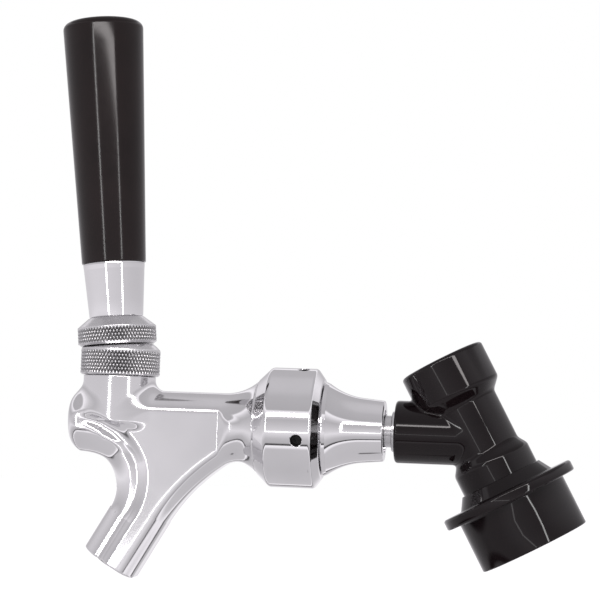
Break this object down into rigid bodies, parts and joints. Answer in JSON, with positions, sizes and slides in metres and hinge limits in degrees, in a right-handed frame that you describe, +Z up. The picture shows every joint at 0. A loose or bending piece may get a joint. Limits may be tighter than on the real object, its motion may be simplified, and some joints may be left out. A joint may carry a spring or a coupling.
{
  "type": "beer faucet with keg disconnect",
  "caption": "Chrome beer faucet with a tapered black handle, screwed by its coupling nut on a bell adapter whose stub carries a black ball-lock keg disconnect.",
  "frame": {"origin": "centre of the disconnect's mouth, where it slides on the keg post", "axes": "+X runs from the spout towards the disconnect along the faucet's shank, +Z is up, +Y is across"},
  "size_m": [0.1688, 0.0428, 0.1756],
  "materials": {
    "chrome": "polished chrome plate",
    "knurled_chrome": "knurled chrome plate",
    "stainless": "turned stainless steel",
    "black_plastic": "moulded gloss",
    "grip_plastic": "polished gloss",
    "rubber": "moulded",
    "nylon": "moulded",
    "brass": "turned"
  },
  "bodies": {
    "tap_body": {"faucet_body": "chrome", "ball_seat_ring": "nylon", "friction_washer": "nylon", "compression_bushing": "brass", "bonnet": "knurled_chrome", "coupling_nut": "chrome", "coupling_gasket": "rubber", "nut_retaining_ring": "stainless", "adapter_body": "chrome", "flare_washer": "nylon", "flare_stub": "stainless", "stub_o_ring": "rubber", "disconnect_body": "black_plastic", "disconnect_cap": "black_plastic", "cap_seal": "rubber", "sleeve_spring": "stainless", "poppet_spring": "stainless"},
    "lever": {"lever": "stainless", "lever_collar": "knurled_chrome", "handle_ferrule": "chrome", "threaded_insert": "brass", "handle_grip": "grip_plastic"},
    "valve_shaft": {"valve_shaft": "stainless", "seat_washer": "rubber", "backing_washer": "stainless", "shaft_nut": "brass"},
    "release_sleeve": {"release_sleeve": "black_plastic"},
    "locking_ball_1": {"locking_ball_1": "stainless"},
    "locking_ball_2": {"locking_ball_2": "stainless"},
    "locking_ball_3": {"locking_ball_3": "stainless"},
    "poppet": {"poppet": "stainless", "poppet_seal": "rubber"}
  },
  "joints": [
    {"name": "lever_pivot", "type": "hinge", "parent": "tap_body", "child": "lever", "pos_m": [-0.13083, 0, 0.0444], "axis": [0, -1, 0], "range_deg": [0, 18]},
    {"name": "valve_slide", "type": "slide", "parent": "tap_body", "child": "valve_shaft", "axis": [1, 0, 0], "range_m": [0, 0.0034]},
    {"name": "sleeve_lift", "type": "slide", "parent": "tap_body", "child": "release_sleeve", "axis": [-0.4772, 0, 0.8788], "range_m": [0, 0.004], "stiffness_N_per_m": 900, "springref_m": -0.003, "deforming": ["sleeve_spring"]},
    {"name": "poppet_lift", "type": "slide", "parent": "tap_body", "child": "poppet", "axis": [-0.4772, 0, 0.8788], "range_m": [0, 0.003], "stiffness_N_per_m": 300, "springref_m": -0.004, "deforming": ["poppet_spring"]},
    {"name": "locking_ball_1_slide", "type": "slide", "parent": "tap_body", "child": "locking_ball_1", "axis": [0.4394, 0.866, 0.2386], "range_m": [0, 0.00081]},
    {"name": "locking_ball_2_slide", "type": "slide", "parent": "tap_body", "child": "locking_ball_2", "axis": [-0.8788, 0, -0.4772], "range_m": [0, 0.00081]},
    {"name": "locking_ball_3_slide", "type": "slide", "parent": "tap_body", "child": "locking_ball_3", "axis": [0.4394, -0.866, 0.2386], "range_m": [0, 0.00081]}
  ],
  "couplings": [
    {"joint": "valve_slide", "follows": "lever_pivot", "m_per_rad": 0.01062},
    {"joint": "locking_ball_1_slide", "follows": "sleeve_lift", "ratio": 0.2},
    {"joint": "locking_ball_2_slide", "follows": "sleeve_lift", "ratio": 0.2},
    {"joint": "locking_ball_3_slide", "follows": "sleeve_lift", "ratio": 0.2}
  ]
}
